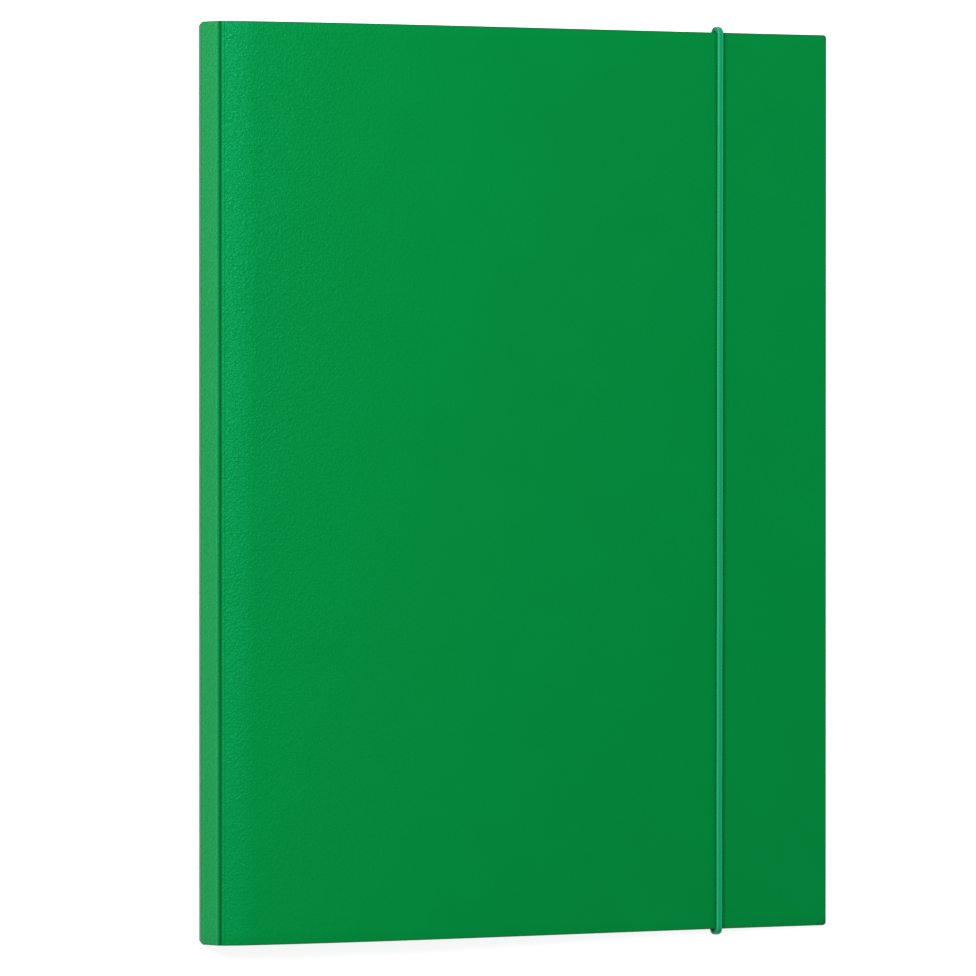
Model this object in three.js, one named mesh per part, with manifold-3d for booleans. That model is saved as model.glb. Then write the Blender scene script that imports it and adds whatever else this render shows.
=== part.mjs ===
// An elastic folder of the 24 x 32 cm size, closed and lying on its back cover.
// X runs from the spine to the fore edge, Y runs up the page, Z is up. Millimetres.
import * as THREE from "three";
import { mergeVertices } from "three/addons/utils/BufferGeometryUtils.js";
import Module from "manifold-3d";

const wasm = await Module();
wasm.setup();

// The pressboard sheet that makes both covers and the spine
const folderHeight = 320;
const boardThickness = 0.6;
const cornerRadius = 1.2;
const sheetSeam = 0.04; // between two pieces of the one sheet

// The back fold, an unpressed bend, and the spine strip above it
const backFoldRadius = 4;
const backFoldTurn = 114;
const backFoldNotch = 1.1;
const spineWidth = 7.8;

// The front fold, a pressed groove
const grooveRadius = 1.3;
const grooveDepth = 0.2;
const rampStartSlope = 17;

// The front cover's bow, seen from its end
const rampReach = 11.6;
const rampRise = 2.36;
const rampEndSlope = 2.9;
const rampHandle = 4;
const coverReach = 239.2;
const foreEdgeHeight = 2.6;
const foreEdgeSlope = -1.8;
const bowHandleNearSpine = 72;
const bowHandleNearForeEdge = 90;
const backCoverShortfall = 1;

// The three inner flaps, of thinner card, glued by a tab to the back cover
const flapThickness = 0.35;
const glueLine = 0.04;
const flapFoldGap = 0.15;
const flapTab = 20;
const flapInset = 1.2;
const flapTaper = 14;
const flapCornerRadius = 4;
const endFlapReach = 95;
const endFlapFromSpine = 10;
const endFlapToClip = 12.9;
const endFlapLift = 0.25;
const sideFlapReach = 100;
const sideFlapEndMargin = 28;
const sideFlapLift = 1.1;

// The flat elastic cord round the front cover, and the clips that hold its ends
const cordWidth = 2.4;
const cordThickness = 1.1;
const cordFromForeEdge = 44;
const cordGap = 0.25;
const cordOverhang = 1.9;
const cordEndFromEdge = 11;
const clipLength = 6;
const clipWidth = 5.2;
const clipThickness = 1.9;
const clipEdgeRadius = 0.6;
const clipGap = 0.1;

// The finishes
const boardColour = 0x018a42;
const flapColour = 0x0b9550;
const cordColour = 0x0daa67;
const clipColour = 0xb9bcc0;

const { degToRad } = THREE.MathUtils;

function heading(degrees) {
  return new THREE.Vector2(Math.cos(degToRad(degrees)), Math.sin(degToRad(degrees)));
}

function ahead(point, degrees, distance) {
  return heading(degrees).multiplyScalar(distance).add(point);
}

// A right-hand bend that starts at a point with a heading, given as a true arc.
function bendFrom(point, startHeading, radius, turn) {
  const centre = ahead(point, startHeading - 90, radius);
  const from = degToRad(startHeading + 90);
  return new THREE.EllipseCurve(centre.x, centre.y, radius, radius, from, from - degToRad(turn), true);
}

// Points along one or more curves that follow each other, each with the direction to its right.
function stations(...curves) {
  const list = [];
  for (const { curve, steps } of curves) {
    for (let i = list.length ? 1 : 0; i <= steps; i += 1) {
      const tangent = curve.getTangent(i / steps);
      list.push({
        point: curve.getPoint(i / steps),
        inward: new THREE.Vector2(tangent.y, -tangent.x),
      });
    }
  }
  return list;
}

// A sheet bent along the stations, which lie on its outer face, and centred on Y.
function bentSheet(list, thickness, breadth, sunk = 0) {
  const at = (station, depth) => station.inward.clone().multiplyScalar(depth).add(station.point);
  const outer = list.map((station) => at(station, sunk));
  const inner = list.map((station) => at(station, thickness)).reverse();
  const section = new THREE.Shape([...outer, ...inner]);
  const sheet = new THREE.ExtrudeGeometry(section, { depth: breadth, bevelEnabled: false });
  sheet.rotateX(Math.PI / 2);
  sheet.translate(0, breadth / 2, 0);
  return sheet;
}

function solidOf(geometry) {
  const bare = geometry.clone();
  bare.deleteAttribute("normal");
  bare.deleteAttribute("uv");
  const merged = mergeVertices(bare, 1e-5);
  return new wasm.Manifold(
    new wasm.Mesh({
      numProp: 3,
      vertProperties: new Float32Array(merged.attributes.position.array),
      triVerts: new Uint32Array(merged.index.array),
    }),
  );
}

function geometryOf(solid) {
  const { vertProperties, triVerts } = solid.getMesh();
  const geometry = new THREE.BufferGeometry();
  geometry.setAttribute("position", new THREE.BufferAttribute(vertProperties, 3));
  geometry.setIndex(new THREE.BufferAttribute(triVerts, 1));
  geometry.computeVertexNormals();
  return geometry;
}

// Cuts a bent sheet to an outline seen from above.
function cutToOutline(sheet, outline) {
  sheet.computeBoundingBox();
  const { min, max } = sheet.boundingBox;
  const margin = 1;
  const cutter = new THREE.ExtrudeGeometry(outline, {
    depth: max.z - min.z + 2 * margin,
    bevelEnabled: false,
    curveSegments: 6,
  });
  cutter.translate(0, 0, min.z - margin);
  return geometryOf(solidOf(sheet).intersect(solidOf(cutter)));
}

// An outline from above, running to `right`, with its two right-hand corners rounded.
function coverOutline(left, right) {
  const half = folderHeight / 2;
  const outline = new THREE.Shape();
  outline.moveTo(left, -half);
  outline.lineTo(right - cornerRadius, -half);
  outline.absarc(right - cornerRadius, -half + cornerRadius, cornerRadius, -Math.PI / 2, 0);
  outline.lineTo(right, half - cornerRadius);
  outline.absarc(right - cornerRadius, half - cornerRadius, cornerRadius, 0, Math.PI / 2);
  outline.lineTo(left, half);
  return outline;
}

function named(name, geometry, colour, roughness, metalness = 0) {
  const material = new THREE.MeshStandardMaterial({ color: colour, roughness, metalness });
  const mesh = new THREE.Mesh(geometry, material);
  mesh.name = name;
  return mesh;
}

const boardRoughness = 0.5;
const flapRoughness = 0.6;
const folder = new THREE.Group();

// The back cover, flat on the table, and the back fold
const foldStart = new THREE.Vector2(0, 0);
const backFold = bendFrom(foldStart, 180, backFoldRadius, backFoldTurn);
const spineHeading = 180 - backFoldTurn;
const spineStart = backFold.getPoint(1);
const spineEnd = ahead(spineStart, spineHeading, spineWidth);
const groove = bendFrom(spineEnd, spineHeading, grooveRadius, spineHeading - rampStartSlope);
const coverStart = groove.getPoint(1);
const foreEdge = new THREE.Vector2(coverStart.x + coverReach, foreEdgeHeight);
const backCoverEdge = foreEdge.x - backCoverShortfall;

const backCoverLine = new THREE.LineCurve(
  new THREE.Vector2(backCoverEdge, 0),
  new THREE.Vector2(foldStart.x + sheetSeam, 0),
);
const backCover = bentSheet(stations({ curve: backCoverLine, steps: 1 }), boardThickness, folderHeight);
folder.add(
  named(
    "back_cover",
    cutToOutline(backCover, coverOutline(foldStart.x - 1, backCoverEdge)),
    boardColour,
    boardRoughness,
  ),
);

const backFoldSteps = 14;
const backFoldSheet = bentSheet(
  stations({ curve: backFold, steps: backFoldSteps }),
  boardThickness,
  folderHeight,
);
const half = folderHeight / 2;

// The fold's ends are notched where the sheet turns, seen along X with its own x up the page.
function notchedEnds() {
  const deepest = half - backFoldNotch;
  const upright = backFoldRadius / 2;
  const right = [
    new THREE.Vector2(half, -1),
    new THREE.Vector2(half, 0),
    new THREE.Vector2(deepest, upright),
    new THREE.Vector2(deepest, upright + backFoldNotch / 2),
    new THREE.Vector2(half, spineStart.y),
    new THREE.Vector2(half, spineStart.y + 1),
  ];
  const left = right.map((corner) => new THREE.Vector2(-corner.x, corner.y)).reverse();
  const cutter = new THREE.ExtrudeGeometry(new THREE.Shape([...right, ...left]), {
    depth: 2 * backFoldRadius,
    bevelEnabled: false,
  });
  cutter.rotateX(Math.PI / 2);
  cutter.rotateZ(Math.PI / 2);
  cutter.translate(foldStart.x - 1.5 * backFoldRadius, 0, 0);
  return cutter;
}

const notchedFold = geometryOf(solidOf(backFoldSheet).intersect(solidOf(notchedEnds())));
folder.add(named("back_fold", notchedFold, boardColour, boardRoughness));

// The spine strip and the groove
const spineLine = new THREE.LineCurve(
  ahead(spineStart, spineHeading, sheetSeam),
  ahead(spineStart, spineHeading, spineWidth - sheetSeam),
);
folder.add(
  named(
    "spine",
    bentSheet(stations({ curve: spineLine, steps: 1 }), boardThickness, folderHeight),
    boardColour,
    boardRoughness,
  ),
);
const grooveSteps = 5;
folder.add(
  named(
    "front_fold",
    bentSheet(stations({ curve: groove, steps: grooveSteps }), boardThickness, folderHeight, grooveDepth),
    boardColour,
    boardRoughness,
  ),
);

// The front cover: a short ramp out of the groove, then one long bow down to the fore edge
const rampStart = ahead(coverStart, rampStartSlope, sheetSeam);
const rampEnd = new THREE.Vector2(coverStart.x + rampReach, coverStart.y + rampRise);
const ramp = new THREE.CubicBezierCurve(
  rampStart,
  ahead(rampStart, rampStartSlope, rampHandle),
  ahead(rampEnd, rampEndSlope, -rampHandle),
  rampEnd,
);
const bow = new THREE.CubicBezierCurve(
  rampEnd,
  ahead(rampEnd, rampEndSlope, bowHandleNearSpine),
  ahead(foreEdge, foreEdgeSlope, -bowHandleNearForeEdge),
  foreEdge,
);
const rampSteps = 6;
const bowSteps = 28;
const frontCover = bentSheet(
  stations({ curve: ramp, steps: rampSteps }, { curve: bow, steps: bowSteps }),
  boardThickness,
  folderHeight,
);
folder.add(
  named(
    "front_cover",
    cutToOutline(frontCover, coverOutline(coverStart.x - 2, foreEdge.x)),
    boardColour,
    boardRoughness,
  ),
);

// A flap's section: the flap from its free edge, the fold, and the glued tab. Its fold is at x = 0.
function flapSheet(reach, lift, breadth) {
  const foldRadius = flapThickness + flapFoldGap / 2;
  const tabFace = boardThickness + glueLine;
  const foldTop = tabFace + 2 * foldRadius;
  const freeEdge = new THREE.Vector2(-reach, foldTop + reach * Math.tan(degToRad(lift)));
  const flapLine = new THREE.LineCurve(freeEdge, new THREE.Vector2(0, foldTop));
  const fold = bendFrom(new THREE.Vector2(0, foldTop), 0, foldRadius, 180);
  const tabLine = new THREE.LineCurve(
    new THREE.Vector2(0, tabFace),
    new THREE.Vector2(-flapTab, tabFace),
  );
  return bentSheet(
    stations({ curve: flapLine, steps: 1 }, { curve: fold, steps: 8 }, { curve: tabLine, steps: 1 }),
    flapThickness,
    breadth,
  );
}

// The flap narrows towards its free edge, whose corners are round.
function flapOutline(reach, breadth) {
  const wide = breadth / 2;
  const narrow = wide - flapTaper;
  const r = flapCornerRadius;
  const outline = new THREE.Shape();
  outline.moveTo(1, -wide);
  outline.lineTo(1, wide);
  outline.lineTo(-flapTab, wide);
  outline.lineTo(-reach + r, narrow);
  outline.quadraticCurveTo(-reach, narrow, -reach, narrow - r);
  outline.lineTo(-reach, -narrow + r);
  outline.quadraticCurveTo(-reach, -narrow, -reach + r, -narrow);
  outline.lineTo(-flapTab, -wide);
  return outline;
}

function flap(name, reach, lift, breadth) {
  const sheet = cutToOutline(flapSheet(reach, lift, breadth), flapOutline(reach, breadth));
  return named(name, sheet, flapColour, flapRoughness);
}

// The end flaps stop short of the cord and its clips.
const cordPlace = foreEdge.x - cordFromForeEdge;
const endFlapEdge = cordPlace - clipWidth / 2 - endFlapToClip;
const endFlapWidth = endFlapEdge - endFlapFromSpine;
const endFlapMiddle = endFlapFromSpine + endFlapWidth / 2;
for (const [name, side] of [
  ["top_flap", 1],
  ["bottom_flap", -1],
]) {
  const endFlap = flap(name, endFlapReach, endFlapLift, endFlapWidth);
  endFlap.rotation.z = (side * Math.PI) / 2;
  endFlap.position.set(endFlapMiddle, side * (half - flapInset), 0);
  folder.add(endFlap);
}
const sideFlap = flap("side_flap", sideFlapReach, sideFlapLift, folderHeight - 2 * sideFlapEndMargin);
sideFlap.position.x = backCoverEdge - flapInset;
folder.add(sideFlap);

// The height of the front cover's outer face at a place across it
function coverHeightAt(x) {
  let low = 0;
  let high = 1;
  for (let i = 0; i < 40; i += 1) {
    const middle = (low + high) / 2;
    if (bow.getPoint(middle).x < x) low = middle;
    else high = middle;
  }
  return bow.getPoint(low).y;
}

// The elastic cord: over the front cover, round both of its ends and back in to the clips
const cordTop = coverHeightAt(cordPlace) + cordGap + cordThickness;
const cordBottom = boardThickness + cordGap;
const cordTurn = (cordTop - cordBottom) / 2;
const cordArchCentre = half + cordOverhang - cordTurn;
const cordEnd = half - cordEndFromEdge;
const archSteps = 12;
const runIn = new THREE.LineCurve(
  new THREE.Vector2(-cordEnd, cordBottom),
  new THREE.Vector2(-cordArchCentre, cordBottom),
);
const lowerArch = bendFrom(new THREE.Vector2(-cordArchCentre, cordBottom), 180, cordTurn, 180);
const frontRun = new THREE.LineCurve(
  new THREE.Vector2(-cordArchCentre, cordTop),
  new THREE.Vector2(cordArchCentre, cordTop),
);
const upperArch = bendFrom(new THREE.Vector2(cordArchCentre, cordTop), 0, cordTurn, 180);
const runOut = new THREE.LineCurve(
  new THREE.Vector2(cordArchCentre, cordBottom),
  new THREE.Vector2(cordEnd, cordBottom),
);
const cord = named(
  "elastic_cord",
  bentSheet(
    stations(
      { curve: runIn, steps: 1 },
      { curve: lowerArch, steps: archSteps },
      { curve: frontRun, steps: 1 },
      { curve: upperArch, steps: archSteps },
      { curve: runOut, steps: 1 },
    ),
    cordThickness,
    cordWidth,
  ),
  cordColour,
  0.7,
);
cord.rotation.z = Math.PI / 2;
cord.position.x = cordPlace;
folder.add(cord);

// The pressed metal clips that hold the cord's ends to the inside of the back cover
function clipGeometry() {
  const w = clipWidth / 2;
  const h = clipThickness;
  const r = clipEdgeRadius;
  const section = new THREE.Shape();
  section.moveTo(-w, 0);
  section.lineTo(w, 0);
  section.lineTo(w, h - r);
  section.absarc(w - r, h - r, r, 0, Math.PI / 2);
  section.lineTo(-w + r, h);
  section.absarc(-w + r, h - r, r, Math.PI / 2, Math.PI);
  const clip = new THREE.ExtrudeGeometry(section, {
    depth: clipLength,
    bevelEnabled: false,
    curveSegments: 5,
  });
  clip.rotateX(Math.PI / 2);
  return clip;
}

for (const [name, side] of [
  ["top_cord_clip", 1],
  ["bottom_cord_clip", -1],
]) {
  const clip = named(name, clipGeometry(), clipColour, 0.35, 1);
  const outerFace = cordEnd - clipGap;
  clip.position.set(cordPlace, side > 0 ? outerFace : -outerFace + clipLength, boardThickness + glueLine);
  folder.add(clip);
}

// The origin is under the middle of the whole folder.
folder.position.x = -(foreEdge.x - backFoldRadius) / 2;

export default folder;
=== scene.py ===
import math

import bpy
from mathutils import Matrix, Vector, noise


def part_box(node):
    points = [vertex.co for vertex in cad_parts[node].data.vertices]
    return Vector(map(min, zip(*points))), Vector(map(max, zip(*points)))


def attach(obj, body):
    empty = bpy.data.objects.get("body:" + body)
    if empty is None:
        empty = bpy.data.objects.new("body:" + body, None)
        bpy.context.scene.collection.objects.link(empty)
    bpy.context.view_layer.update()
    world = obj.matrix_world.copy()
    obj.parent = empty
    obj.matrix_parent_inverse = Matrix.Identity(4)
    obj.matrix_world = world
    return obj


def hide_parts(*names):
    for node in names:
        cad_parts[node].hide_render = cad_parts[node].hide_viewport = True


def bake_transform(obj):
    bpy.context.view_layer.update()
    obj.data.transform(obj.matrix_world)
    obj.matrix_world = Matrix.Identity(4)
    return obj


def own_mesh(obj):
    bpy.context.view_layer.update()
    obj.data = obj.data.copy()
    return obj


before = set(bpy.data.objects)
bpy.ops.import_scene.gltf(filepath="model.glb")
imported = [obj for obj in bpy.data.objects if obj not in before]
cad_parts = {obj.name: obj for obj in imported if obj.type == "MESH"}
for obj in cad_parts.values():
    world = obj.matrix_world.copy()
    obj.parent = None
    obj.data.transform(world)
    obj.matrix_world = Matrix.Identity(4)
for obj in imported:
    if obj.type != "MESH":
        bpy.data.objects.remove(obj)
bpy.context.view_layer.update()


# The camera
# The folder is seen from above its spine side through a long lens, so its ends stay almost parallel.
# The camera stands a little above the folder's middle and is tipped down to it.
picture_side = 976
focal_in_pixels = 7891
camera_lean = math.radians(24.24)
camera_tip = math.radians(0.633)
camera_place = Vector((-1.1539, 0.0286, 2.5398))

camera_data = bpy.data.cameras.new("camera")
camera_data.sensor_width = 36
camera_data.lens = camera_data.sensor_width * focal_in_pixels / picture_side
camera = bpy.data.objects.new("camera", camera_data)
bpy.context.scene.collection.objects.link(camera)
bpy.context.scene.camera = camera
to_right = Vector((math.cos(camera_lean), 0, math.sin(camera_lean)))
level_ahead = Vector((math.sin(camera_lean), 0, -math.cos(camera_lean)))
up_page = Vector((0, 1, 0))
ahead = level_ahead * math.cos(camera_tip) - up_page * math.sin(camera_tip)
to_top = up_page * math.cos(camera_tip) + level_ahead * math.sin(camera_tip)
camera_turn = Matrix((to_right, to_top, -ahead)).transposed().to_4x4()
camera.matrix_world = Matrix.Translation(camera_place) @ camera_turn


# The table and the light
# A white table top in a dim pale room. A wide lamp at the upper left draws the cord's shadow, and
# another hangs overhead towards the head of the page for the sheen by the groove.
table_half_side = 3.0
table_glow = 0.78
table_grey = 0.8
room_glow = 0.28


def seen_directly(tree):
    """1 where a camera, mirror or glass ray arrives, else 0."""
    path = tree.nodes.new("ShaderNodeLightPath")
    found = path.outputs["Is Camera Ray"]
    for kind in ("Is Glossy Ray", "Is Transmission Ray"):
        either = tree.nodes.new("ShaderNodeMath")
        either.operation = "MAXIMUM"
        tree.links.new(found, either.inputs[0])
        tree.links.new(path.outputs[kind], either.inputs[1])
        found = either.outputs[0]
    return found


def white_table():
    """Takes the shadows, and glows where it is looked at, so that it stays white."""
    material = bpy.data.materials.new("white_table")
    material.use_nodes = True
    tree = material.node_tree
    tree.nodes.clear()
    lit = tree.nodes.new("ShaderNodeBsdfDiffuse")
    lit.inputs["Color"].default_value = (table_grey, table_grey, table_grey, 1)
    share = tree.nodes.new("ShaderNodeMath")
    share.operation = "MULTIPLY"
    share.inputs[1].default_value = table_glow
    tree.links.new(seen_directly(tree), share.inputs[0])
    glow = tree.nodes.new("ShaderNodeEmission")
    tree.links.new(share.outputs[0], glow.inputs["Strength"])
    both = tree.nodes.new("ShaderNodeAddShader")
    tree.links.new(glow.outputs[0], both.inputs[0])
    tree.links.new(lit.outputs[0], both.inputs[1])
    output = tree.nodes.new("ShaderNodeOutputMaterial")
    tree.links.new(both.outputs[0], output.inputs["Surface"])
    return material


def placed(name, mesh, material):
    mesh.materials.append(material)
    piece = bpy.data.objects.new(name, mesh)
    bpy.context.scene.collection.objects.link(piece)
    return piece


table_mesh = bpy.data.meshes.new("table")
square = ((-1, -1), (1, -1), (1, 1), (-1, 1))
table_corners = [(x * table_half_side, y * table_half_side, 0) for x, y in square]
table_mesh.from_pydata(table_corners, [], [(0, 1, 2, 3)])
table = placed("table", table_mesh, white_table())

room = bpy.data.worlds.new("room")
bpy.context.scene.world = room
room.use_nodes = True
room_tree = room.node_tree
room_wall = room_tree.nodes["Background"]
room_wall.inputs["Color"].default_value = (1, 1, 1, 1)
room_strength = room_tree.nodes.new("ShaderNodeMapRange")
room_strength.inputs["To Min"].default_value = room_glow
room_strength.inputs["To Max"].default_value = 1
room_path = room_tree.nodes.new("ShaderNodeLightPath")
room_tree.links.new(room_path.outputs["Is Camera Ray"], room_strength.inputs["Value"])
room_tree.links.new(room_strength.outputs[0], room_wall.inputs["Strength"])


def soft_lamp(name, place, width, depth, watts):
    """A rectangular lamp that faces the folder's middle."""
    lamp = bpy.data.lights.new(name, "AREA")
    lamp.shape = "RECTANGLE"
    lamp.size = width
    lamp.size_y = depth
    lamp.energy = watts
    holder = bpy.data.objects.new(name, lamp)
    holder.location = place
    holder.rotation_mode = "QUATERNION"
    holder.rotation_quaternion = (-Vector(place)).to_track_quat("-Z", "Y")
    bpy.context.scene.collection.objects.link(holder)


soft_lamp("upper_left_lamp", (-0.8, 0.55, 0.95), 0.6, 0.6, 16)
soft_lamp("overhead_lamp", (-0.3, 0.6, 1.5), 0.8, 0.6, 7)


# The elastic cord
# A flat braid of dyed yarn over rubber, with three ribs along each face. It lies down the front
# cover near the fore edge, turns round both ends of it, and its ends are held in clips inside.
MM = 0.001
cord_thickness = 1.35 * MM
cord_squareness = 0.42
middle_line_inset = 0.55 * MM
foot_lean = 0.35 * MM
wander_reach = 0.12 * MM
wanders_per_metre = 25
rib_count = 3
rib_depth = 0.22 * MM
rib_roundness = 0.7
middle_hollow = 0.12 * MM
middle_hollow_share = 0.42
# Painted shade in the colour along the braid's middle hollow.
painted_middle_shade = 0.45
stitch_length = 0.8 * MM
stitch_depth = 0.045 * MM
stitch_slant = 0.35
# A painted highlight in the colour on each stitch.
painted_stitch_highlight = 0.2
cord_step = 0.22 * MM
cord_sides = 28

cord_low, cord_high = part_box("elastic_cord")
cord_middle = (cord_low.x + cord_high.x) / 2
cord_half_width = (cord_high.x - cord_low.x) / 2
cord_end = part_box("top_cord_clip")[1].y


def cord_route():
    """Points (y, z) along the braid's middle line, with the direction out of the loop at each."""
    turn = (cord_high.z - cord_low.z) / 2
    arch_centre = cord_high.y - turn
    middle_z = (cord_high.z + cord_low.z) / 2
    bend = turn - middle_line_inset
    route = []

    def straight(y_from, y_to, side):
        steps = max(2, round(abs(y_to - y_from) / cord_step))
        for i in range(steps):
            y = y_from + (y_to - y_from) * i / steps
            route.append((y, middle_z + side * bend, 0, side))

    def arch(y, start):
        steps = round(math.pi * bend / cord_step)
        for i in range(steps):
            angle = start - math.pi * i / steps
            c, s = math.cos(angle), math.sin(angle)
            route.append((y + bend * c, middle_z + bend * s, c, s))

    straight(-cord_end, -arch_centre, -1)
    arch(-arch_centre, -math.pi / 2)
    straight(-arch_centre, arch_centre, 1)
    arch(arch_centre, math.pi / 2)
    straight(arch_centre, cord_end, -1)
    route.append((cord_end, middle_z - bend, 0, -1))
    return route


def stitch_wave(along, slip):
    return math.sin(2 * math.pi * (along / stitch_length + slip))


def braid_section(along):
    """The braid's outline at a length along it, a flat oval with ribs and stitches: for each point
    how far it lies across and out, and how much painted light its colour gets: painted highlights
    on the tops of the ribs and stitches, painted shade between the ribs, at the sides and along the middle."""
    outline = []
    for i in range(cord_sides):
        angle = 2 * math.pi * i / cord_sides
        c, s = math.cos(angle), math.sin(angle)
        on_face = abs(s) ** 0.5
        across = math.copysign(abs(c) ** cord_squareness, c)
        out = math.copysign(abs(s) ** cord_squareness, s)
        place = (across + 1) / 2 * rib_count
        rib = abs(math.sin(math.pi * place)) ** rib_roundness
        half_stitch = 0.5 * (int(min(place, rib_count - 0.01)) % 2)
        stitch = stitch_wave(along, half_stitch + stitch_slant * (place % 1))
        middle = math.exp(-((across / middle_hollow_share) ** 2))
        relief = (rib_depth * (rib - 1) - middle_hollow * middle) * on_face + stitch_depth * (stitch - 1) / 2
        edge = stitch_depth * (stitch_wave(along, 0) - 1) / 2 * abs(c)
        # Painted light and shade for the colour: lighter on the ribs and stitches, darker between the ribs,
        # at the sides and along the middle.
        painted_rib_light = rib * (1 - painted_stitch_highlight + painted_stitch_highlight * stitch) * (1 - painted_middle_shade * middle)
        wide = across * cord_half_width + math.copysign(edge, c)
        high = out * cord_thickness / 2 + math.copysign(relief, s)
        outline.append((wide, high, painted_rib_light))
    return outline


def mesh_of(name, points, faces, places):
    """A smooth mesh that keeps each point's place on the piece, for the finishes."""
    mesh = bpy.data.meshes.new(name)
    mesh.from_pydata(points, [], faces)
    mesh.shade_smooth()
    kept = mesh.attributes.new("sheet_place", "FLOAT_VECTOR", "POINT")
    kept.data.foreach_set("vector", [v for place in places for v in place])
    return mesh


def braid_mesh():
    points, faces, places = [], [], []
    route = cord_route()
    along = 0
    for i, (y, z, out_y, out_z) in enumerate(route):
        if i:
            along += math.hypot(y - route[i - 1][0], z - route[i - 1][1])
        lean = foot_lean * (0.5 - y / (2 * cord_high.y))
        wander = wander_reach * noise.noise(Vector((along * wanders_per_metre, 3.1, 0))) - lean
        for wide, high, painted_rib_light in braid_section(along):
            points.append((cord_middle + wide + wander, y + high * out_y, z + high * out_z))
            places.append((wide, along, painted_rib_light))
    last = (len(route) - 1) * cord_sides
    for ring in range(0, last, cord_sides):
        for j in range(cord_sides):
            a = ring + j
            b = ring + (j + 1) % cord_sides
            faces.append((a, b, b + cord_sides, a + cord_sides))
    faces.append(tuple(reversed(range(cord_sides))))
    faces.append(tuple(last + j for j in range(cord_sides)))
    return mesh_of("elastic_braid", points, faces, places)


class Finish:
    """A material's node tree, with short ways to add what the finishes here share."""

    def __init__(self, name):
        self.material = bpy.data.materials.new(name)
        self.material.use_nodes = True
        self.tree = self.material.node_tree
        self.shader = self.tree.nodes["Principled BSDF"]

    def feed(self, socket, value):
        if isinstance(value, bpy.types.NodeSocket):
            self.tree.links.new(value, socket)
        else:
            socket.default_value = value

    def node(self, kind, **inputs):
        made = self.tree.nodes.new(kind)
        for name, value in inputs.items():
            self.feed(made.inputs[name.replace("_", " ")], value)
        return made

    def surface(self, **inputs):
        for name, value in inputs.items():
            self.feed(self.shader.inputs[name.replace("_", " ")], value)

    def place_on_piece(self):
        """The place that the mesh keeps for each of its points, in metres."""
        spot = self.node("ShaderNodeAttribute")
        spot.attribute_name = "sheet_place"
        return spot.outputs["Vector"]

    def place_in_object(self):
        return self.node("ShaderNodeTexCoord").outputs["Object"]

    def scaled(self, vector, scale):
        made = self.node("ShaderNodeVectorMath")
        made.operation = "MULTIPLY"
        self.feed(made.inputs[0], vector)
        self.feed(made.inputs[1], scale)
        return made.outputs[0]

    def maths(self, operation, *values):
        made = self.node("ShaderNodeMath")
        made.operation = operation
        for socket, value in zip(made.inputs, values):
            self.feed(socket, value)
        return made.outputs[0]

    def sums(self, first, second, weight):
        """first + weight * second"""
        return self.maths("MULTIPLY_ADD", second, weight, first)

    def product(self, first, second):
        return self.maths("MULTIPLY", first, second)

    def distance(self, value, centre):
        return self.maths("ABSOLUTE", self.sums(value, centre, -1.0))

    def between(self, factor, low, high, from_low=0.0, from_high=1.0):
        """low where the factor is from_low, high where it is from_high, and in step between."""
        made = self.node("ShaderNodeMapRange", Value=factor, From_Min=from_low, From_Max=from_high)
        self.feed(made.inputs["To Min"], low)
        self.feed(made.inputs["To Max"], high)
        return made.outputs[0]

    def mixed(self, factor, first, second):
        made = self.node("ShaderNodeMix")
        made.data_type = "RGBA"
        self.feed(made.inputs["Factor"], factor)
        for socket, colour in ((made.inputs[6], first), (made.inputs[7], second)):
            self.feed(socket, (*colour, 1) if isinstance(colour, tuple) else colour)
        return made.outputs[2]

    def speckle(self, vector, detail, roughness, distortion=0.0):
        made = self.node("ShaderNodeTexNoise", Vector=vector, Scale=1.0, Detail=detail)
        self.feed(made.inputs["Roughness"], roughness)
        self.feed(made.inputs["Distortion"], distortion)
        return made.outputs["Fac"]

    def raised(self, height, depth, strength):
        bump = self.node("ShaderNodeBump", Strength=strength, Distance=depth, Height=height)
        self.surface(Normal=bump.outputs[0])


def yarn():
    """Bright green polyester yarn with a faint sheen. Its colour carries painted light and shade:
    painted highlights on the ribs and stitches, painted shade between the ribs and along the middle.
    """
    # Painted shade between the ribs and painted light on their tops.
    painted_shade_between_ribs = (0.0, 0.12, 0.04)
    painted_light_on_crowns = (0.02, 0.56, 0.21)
    fibres_per_metre = (5200, 1500, 0)
    fibre_depth = 0.05 * MM
    finish = Finish("green_yarn")
    place = finish.place_on_piece()
    fibres = finish.speckle(finish.scaled(place, fibres_per_metre), 3.0, 0.6)
    painted_rib_light = finish.node("ShaderNodeSeparateXYZ", Vector=place).outputs["Z"]
    painted_rib_light_level = finish.between(finish.sums(painted_rib_light, fibres, 0.3), 0.0, 1.0, 0.35, 1.1)
    finish.surface(
        Base_Color=finish.mixed(painted_rib_light_level, painted_shade_between_ribs, painted_light_on_crowns),
        Roughness=finish.between(fibres, 0.42, 0.62),
        Specular_Tint=(0.1, 1.0, 0.8, 1),
        Sheen_Weight=0.03,
        Sheen_Roughness=0.4,
        Sheen_Tint=(0.3, 1.0, 0.7, 1),
    )
    finish.raised(fibres, fibre_depth, 0.6)
    return finish.material


cord = placed("elastic_braid", braid_mesh(), yarn())
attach(cord, "back")
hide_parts("elastic_cord")
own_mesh(cord)


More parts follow.
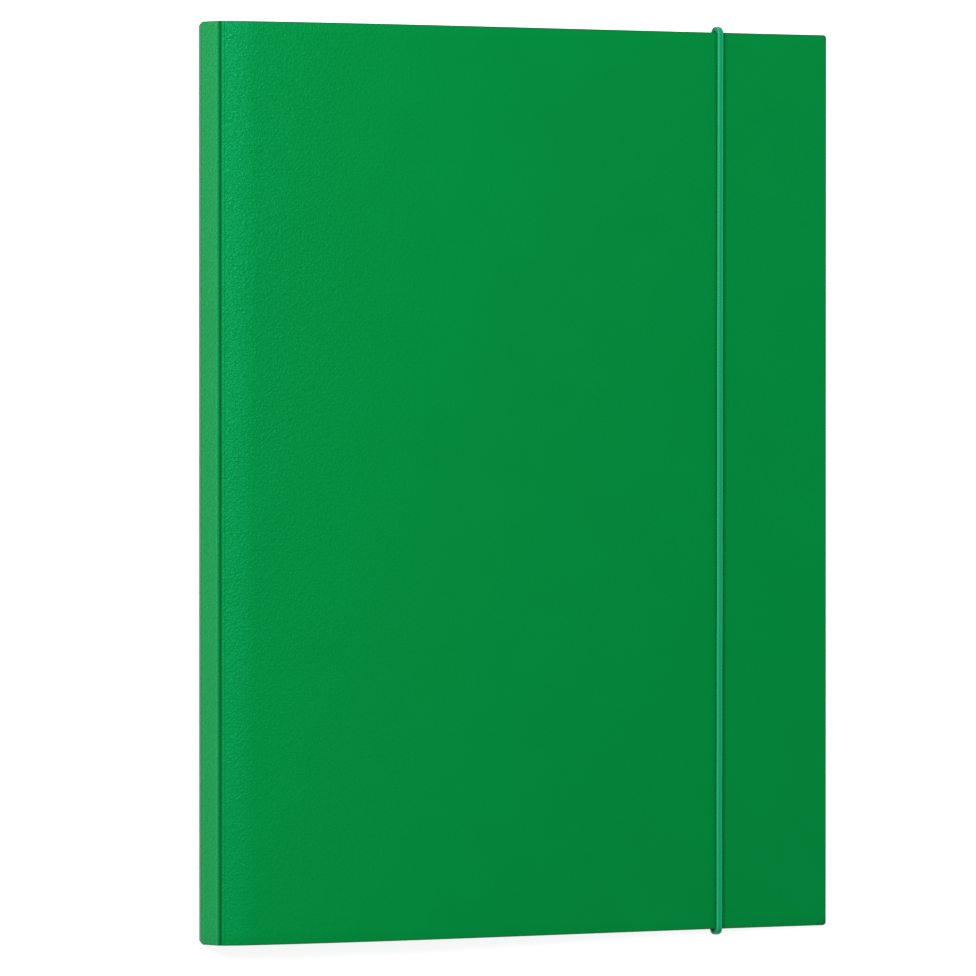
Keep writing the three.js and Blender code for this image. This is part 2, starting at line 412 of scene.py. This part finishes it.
# The cover board
# One sheet of green pressboard, die-cut, embossed with a fine leather grain and creased, makes
# the back cover, the spine and the front cover. It is bent, not cut, at its two folds.
board = 0.6 * MM
corner_radius = 1.2 * MM
die_cut_round = 0.14 * MM
spine_width = 7.8 * MM
back_fold_turn = math.radians(114)
fold_trim = 1.35 * MM
fold_trim_slant = math.radians(24.24)
groove_radius = 1.3 * MM
ramp_start_slope = math.radians(17)
ramp_rise = 2.36 * MM
ramp_reach = 11.6 * MM
ramp_end_slope = math.radians(2.9)
ramp_handle = 4 * MM
bow_handle_near_spine = 72 * MM
bow_handle_near_fore_edge = 90 * MM
fore_edge_height = 2.6 * MM
fore_edge_slope = math.radians(-1.8)
groove_depth = 0.48 * MM
groove_half_width = 0.62 * MM
groove_unevenness = 0.12
lip_height = 0.1 * MM
lip_from_groove = 1.25 * MM
lip_half_width = 0.4 * MM
fold_line_depth = 0.09 * MM
fold_line_half_width = 0.35 * MM
fold_lip_share = 0.8
inner_press_share = 0.6
front_waviness = 0.08 * MM
# How far the painted shadow beside the cord reaches.
painted_cord_shadow_reach = 2.6 * MM
seam_before_groove_middle = 0.2 * MM

half_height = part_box("spine")[1].y
back_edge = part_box("back_cover")[1].x
fore_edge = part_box("front_cover")[1].x
fold_low, fold_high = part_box("back_fold")
fold_start = fold_high.x
back_fold_radius = fold_high.x - fold_low.x


def way(heading):
    return Vector((math.cos(heading), math.sin(heading)))


def to_inner_side(heading):
    return Vector((math.sin(heading), -math.cos(heading)))


class Track:
    """A side-on line of points with headings, walked from one end of the sheet to the other."""

    def __init__(self, point, heading):
        self.points = [Vector(point)]
        self.headings = [heading]

    def straight(self, length, step):
        steps = max(1, round(length / step))
        start, heading = self.points[-1], self.headings[-1]
        for i in range(1, steps + 1):
            self.points.append(start + way(heading) * (length * i / steps))
            self.headings.append(heading)

    def right_bend(self, radius, turn, steps=60):
        start, heading = self.points[-1], self.headings[-1]
        centre = start + to_inner_side(heading) * radius
        for i in range(1, steps + 1):
            now = heading - turn * i / steps
            self.points.append(centre - to_inner_side(now) * radius)
            self.headings.append(now)

    def curve(self, end, end_heading, first_handle, last_handle, steps=240):
        start = self.points[-1]
        a = start + way(self.headings[-1]) * first_handle
        b = end - way(end_heading) * last_handle
        for i in range(1, steps + 1):
            t = i / steps
            u = 1 - t
            self.points.append(start * u**3 + a * (3 * u * u * t) + b * (3 * u * t * t) + end * t**3)
            on = (a - start) * (u * u) + (b - a) * (2 * u * t) + (end - b) * (t * t)
            self.headings.append(math.atan2(on.y, on.x))

    def measured(self):
        """The lengths from the start to each point."""
        lengths = [0.0]
        for a, b in zip(self.points, self.points[1:]):
            lengths.append(lengths[-1] + (b - a).length)
        return lengths


track = Track((back_edge, 0), math.pi)
track.straight(back_edge - fold_start, 2 * MM)
fold_begins = track.measured()[-1]
track.right_bend(back_fold_radius, back_fold_turn)
fold_ends = track.measured()[-1]
spine_slope = track.headings[-1]
track.straight(spine_width, 0.4 * MM)
groove_begins = track.measured()[-1]
track.right_bend(groove_radius, spine_slope - ramp_start_slope)
groove_ends = track.measured()[-1]
ramp_end = track.points[-1] + Vector((ramp_reach, ramp_rise))
track.curve(ramp_end, ramp_end_slope, ramp_handle, ramp_handle, 80)
fore_end = Vector((fore_edge, fore_edge_height))
track.curve(fore_end, fore_edge_slope, bow_handle_near_spine, bow_handle_near_fore_edge)
track_lengths = track.measured()
sheet_length = track_lengths[-1]
groove_middle = (groove_begins + groove_ends) / 2
seam = groove_middle - seam_before_groove_middle
cord_length = next(l for p, l in zip(track.points, track_lengths) if l > groove_ends and p.x >= cord_middle)


def on_track(length):
    """The point and heading at a length along the sheet."""
    low, high = 0, len(track_lengths) - 1
    while high - low > 1:
        middle = (low + high) // 2
        if track_lengths[middle] <= length:
            low = middle
        else:
            high = middle
    share = (length - track_lengths[low]) / (track_lengths[high] - track_lengths[low])
    point = track.points[low].lerp(track.points[high], share)
    return point, track.headings[low] * (1 - share) + track.headings[high] * share


def swell(offset, half_width):
    return math.exp(-((offset / half_width) ** 2))


def pressed(length, y):
    """How far the creasing rules moved the outer face outwards here: a groove between two low lips,
    and a lighter line with one lip where the spine strip meets the back fold."""
    from_groove = length - groove_middle
    uneven = 1 + groove_unevenness * noise.noise(Vector((y * 90, 5.3, 0)))
    groove = -groove_depth * uneven * swell(from_groove, groove_half_width)
    lips = sum(lip_height * swell(from_groove - side * lip_from_groove, lip_half_width) for side in (-1, 1))
    from_fold = length - fold_ends
    fold_line = -fold_line_depth * swell(from_fold, fold_line_half_width)
    from_fold_lip = from_fold - 2 * fold_line_half_width
    fold_lip = fold_lip_share * fold_line_depth * swell(from_fold_lip, fold_line_half_width)
    return groove + lips + fold_line + fold_lip


def half_height_at(length):
    """Half of the sheet's height here: rounded at the four corners and trimmed at the back fold.
    The trim runs straight when it is seen from above the spine, at its slant."""
    from_edge = min(length, sheet_length - length)
    if from_edge < corner_radius:
        inset = corner_radius - from_edge
        return half_height - corner_radius + math.sqrt(max(0, corner_radius**2 - inset**2))
    if not fold_begins < length < fold_ends:
        return half_height
    heading = on_track(length)[1]
    outermost = math.pi / 2 + fold_trim_slant
    if heading < outermost:
        at_spine = math.sin(spine_slope - fold_trim_slant)
        share = (math.sin(heading - fold_trim_slant) - at_spine) / (1 - at_spine)
    else:
        share = (math.pi - heading) / (math.pi - outermost)
    return half_height - fold_trim * share


def row_lengths(first, last):
    """Where the sheet's mesh has its rows: close together at corners, folds and the groove."""
    lips = 1.6 * MM
    after_ramp = groove_ends + 14 * MM
    stretches = (
        (corner_radius, fold_begins, 3.2 * MM),
        (fold_begins, fold_ends, 0.25 * MM),
        (fold_ends, groove_begins - lips, 0.5 * MM),
        (groove_begins - lips, groove_ends + lips, 0.1 * MM),
        (groove_ends + lips, after_ramp, 0.7 * MM),
        (after_ramp, sheet_length - corner_radius, 2.6 * MM),
    )
    found = {first, last}
    for start, end, step in stretches:
        count = max(1, round((end - start) / step))
        found.update(start + (end - start) * i / count for i in range(count + 1))
    corner_rows = 8
    for i in range(corner_rows + 1):
        inset = corner_radius * (1 - math.sin(math.pi / 2 * i / corner_rows))
        found.update((inset, sheet_length - inset))
    hair = 1e-9
    closest = 0.02 * MM
    rows = []
    for length in sorted(found):
        if first - hair <= length <= last + hair and (not rows or length - rows[-1] > closest):
            rows.append(length)
    rows[-1] = last
    return rows


def board_mesh(name, first, last, seam_at_start, waviness):
    """A closed piece of the board between two lengths, its rims marked for rounding except at the seam."""
    spaces = 80
    columns = spaces + 1
    spans = [-1 + 2 * j / spaces for j in range(columns)]
    lengths = row_lengths(first, last)
    count = len(lengths)
    inner = columns * count
    points, places, faces = [], [], []
    for layer in (0, 1):
        press_share = inner_press_share if layer else 1
        for length in lengths:
            point, heading = on_track(length)
            tall = half_height_at(length)
            for span in spans:
                y = span * tall
                sway = waviness * noise.noise(Vector((length * 14, y * 11, 0.7)))
                depth = board * layer - pressed(length, y) * press_share - sway
                spot = point + to_inner_side(heading) * depth
                points.append((spot.x, y, spot.y))
                from_edge = min(tall - abs(y), max(length, board), sheet_length - length)
                places.append((length, y, -from_edge if layer else from_edge))

    def at(i, j, layer):
        return layer * inner + i * columns + j

    far, top = count - 1, columns - 1
    for i in range(far):
        for j in range(top):
            faces.append((at(i, j, 0), at(i + 1, j, 0), at(i + 1, j + 1, 0), at(i, j + 1, 0)))
            faces.append((at(i, j, 1), at(i, j + 1, 1), at(i + 1, j + 1, 1), at(i + 1, j, 1)))
        faces.append((at(i, 0, 0), at(i, 0, 1), at(i + 1, 0, 1), at(i + 1, 0, 0)))
        faces.append((at(i, top, 0), at(i + 1, top, 0), at(i + 1, top, 1), at(i, top, 1)))
    for j in range(top):
        faces.append((at(0, j, 0), at(0, j + 1, 0), at(0, j + 1, 1), at(0, j, 1)))
        faces.append((at(far, j, 0), at(far, j, 1), at(far, j + 1, 1), at(far, j + 1, 0)))
    mesh = mesh_of(name, points, faces, places)
    cut_row = far if seam_at_start else 0
    rim = mesh.attributes.new("bevel_weight_edge", "FLOAT", "EDGE")
    for edge in mesh.edges:
        (i, j), (other_i, other_j) = (divmod(v % inner, columns) for v in edge.vertices)
        one_face = (edge.vertices[0] < inner) == (edge.vertices[1] < inner)
        along_side = j == other_j and j in (0, top)
        along_end = i == other_i == cut_row
        rim.data[edge.index].value = 1.0 if one_face and (along_side or along_end) else 0.0
    return mesh


def rounded_rims(piece):
    """Rounds the marked rims a little, as the cutting rule leaves them."""
    bevel = piece.modifiers.new("die_cut_round", "BEVEL")
    bevel.limit_method = "WEIGHT"
    bevel.width = die_cut_round
    bevel.segments = 3
    rounded = piece.evaluated_get(bpy.context.evaluated_depsgraph_get())
    mesh = bpy.data.meshes.new_from_object(rounded)
    piece.modifiers.clear()
    piece.data = mesh


def pressboard():
    """Dyed, waxed pressboard: a fine leather emboss that is worn flatter away from the spine, a low
    gloss and dye a little uneven. Its colour carries painted shade in the hollows of the emboss, over
    the back fold and in the groove, a painted shadow beside the cord, and it is darker along the rims."""
    dark_dye = (0.0, 0.222, 0.031)
    light_dye = (0.0, 0.240, 0.036)
    painted_pit_shade_green = (0.0, 0.14, 0.014)
    painted_fold_shade_green = (0.0, 0.04, 0.01)
    painted_cord_shadow_green = (0.0, 0.03, 0.004)
    painted_groove_shade_green = (0.0, 0.04, 0.002)
    rim_green = (0.01, 0.07, 0.02)
    grains_per_metre = (1050, 1050, 0)
    wrinkles_per_metre = (720, 720, 0)
    clouds_per_metre = (42, 42, 0)
    emboss_depth = 0.28 * MM
    finish = Finish("green_pressboard")
    place = finish.place_on_piece()
    parts = finish.node("ShaderNodeSeparateXYZ", Vector=place)
    length = parts.outputs["X"]
    from_edge = finish.distance(parts.outputs["Z"], 0.0)
    outer_face = finish.between(parts.outputs["Z"], 0.0, 1.0, 0.0, 0.1 * MM)

    grain = finish.speckle(finish.scaled(place, grains_per_metre), 3.0, 0.62, 0.7)
    wrinkles = finish.speckle(finish.scaled(place, wrinkles_per_metre), 1.0, 0.5, 0.5)
    relief = finish.sums(grain, finish.distance(wrinkles, 0.5), 1.1)
    worn_across = finish.between(length, 1.0, 0.2, groove_ends + 6 * MM, groove_ends + 90 * MM)
    worn_down = finish.between(parts.outputs["Y"], 0.5, 1.0, -0.15, 0.05)
    kept_depth = finish.product(worn_across, worn_down)
    finish.raised(finish.product(relief, kept_depth), emboss_depth, 1.0)

    clouds = finish.speckle(finish.scaled(place, clouds_per_metre), 2.0, 0.55)
    dye = finish.mixed(clouds, dark_dye, light_dye)
    # Painted shade in the hollows of the emboss, fading where the emboss is kept shallower.
    painted_pit_shade_share = finish.product(finish.between(grain, 0.55, 0.0, 0.25, 0.6), kept_depth)
    with_painted_pit_shade = finish.mixed(painted_pit_shade_share, dye, painted_pit_shade_green)
    # Painted shade over the back fold, fading out towards its ends.
    fold_middle, fold_reach = (fold_begins + fold_ends) / 2, (fold_ends - fold_begins) / 2
    from_fold = finish.distance(length, fold_middle)
    painted_fold_shade_share = finish.between(from_fold, 0.3, 0.0, fold_reach - 0.3 * MM, fold_reach)
    folded = finish.mixed(painted_fold_shade_share, with_painted_pit_shade, painted_fold_shade_green)
    # A painted shadow of the cord on the outer face, on both sides of it.
    from_cord = finish.distance(length, cord_length)
    painted_cord_shadow = finish.between(from_cord, 0.15, 0.0, 0.6 * MM, painted_cord_shadow_reach)
    with_painted_cord_shadow = finish.mixed(finish.product(painted_cord_shadow, outer_face), folded, painted_cord_shadow_green)
    # Painted shade in the groove, which is also made rougher.
    from_groove = finish.distance(length, groove_middle)
    in_groove = finish.between(from_groove, 1.0, 0.0, 0.35 * MM, 0.95 * MM)
    creased = finish.mixed(finish.product(in_groove, 0.72), with_painted_cord_shadow, painted_groove_shade_green)
    # Darker within about half a millimetre of every rim.
    at_rim = finish.between(from_edge, 0.6, 0.0, 0.15 * MM, 0.55 * MM)
    polish = finish.between(grain, 0.44, 0.36, 0.2, 0.8)
    finish.surface(
        Base_Color=finish.mixed(at_rim, creased, rim_green),
        Roughness=finish.sums(polish, in_groove, 0.5),
        Specular_IOR_Level=0.5,
        Specular_Tint=(0.06, 1.0, 0.84, 1),
    )
    return finish.material


cover_board = pressboard()
back_mesh = board_mesh("back_cover_and_spine", 0, seam, False, 0)
back_and_spine = placed("back_cover_and_spine", back_mesh, cover_board)
rounded_rims(back_and_spine)
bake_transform(back_and_spine)
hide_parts("back_cover", "back_fold", "spine")

front_mesh = board_mesh("front_cover_board", seam, sheet_length, True, front_waviness)
front = placed("front_cover_board", front_mesh, cover_board)
rounded_rims(front)
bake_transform(front)
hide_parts("front_fold", "front_cover")


# The flaps
# Three pieces of thinner green card, each scored, folded over and glued by a tab to the back
# cover. They hold the loose sheets at the top, the bottom and the fore edge.
def flap_card():
    dark_dye = (0.002, 0.24, 0.055)
    light_dye = (0.006, 0.30, 0.08)
    fibres_per_metre = (1400, 1400, 1400)
    clouds_per_metre = (60, 60, 60)
    fibre_depth = 0.03 * MM
    finish = Finish("green_card")
    place = finish.place_in_object()
    fibres = finish.speckle(finish.scaled(place, fibres_per_metre), 3.0, 0.6, 0.8)
    clouds = finish.speckle(finish.scaled(place, clouds_per_metre), 2.0, 0.5)
    finish.surface(
        Base_Color=finish.mixed(finish.sums(fibres, clouds, 0.3), dark_dye, light_dye),
        Roughness=finish.between(fibres, 0.55, 0.7),
        Specular_Tint=(0.2, 1.0, 0.9, 1),
    )
    finish.raised(fibres, fibre_depth, 0.3)
    return finish.material


def refinished(names, material):
    for name in names:
        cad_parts[name].material_slots[0].material = material


refinished(("top_flap", "bottom_flap", "side_flap"), flap_card())


# The clips
# Two pressed steel clips, zinc plated. Each is closed over an end of the cord, inside the back
# cover, and the sheet that they are cut from keeps its fine drawn lines.
def plated_steel():
    dull_zinc = (0.52, 0.53, 0.54)
    bright_zinc = (0.66, 0.67, 0.68)
    lines_per_metre = (9000, 700, 9000)
    line_depth = 0.02 * MM
    finish = Finish("plated_steel")
    lines = finish.speckle(finish.scaled(finish.place_in_object(), lines_per_metre), 2.0, 0.6)
    finish.surface(
        Base_Color=finish.mixed(lines, dull_zinc, bright_zinc),
        Metallic=1,
        Roughness=finish.between(lines, 0.25, 0.42),
    )
    finish.raised(lines, line_depth, 0.3)
    return finish.material


refinished(("top_cord_clip", "bottom_cord_clip"), plated_steel())


# The picture
# Colours are shown as they are lit.
bpy.context.scene.view_settings.view_transform = "Standard"
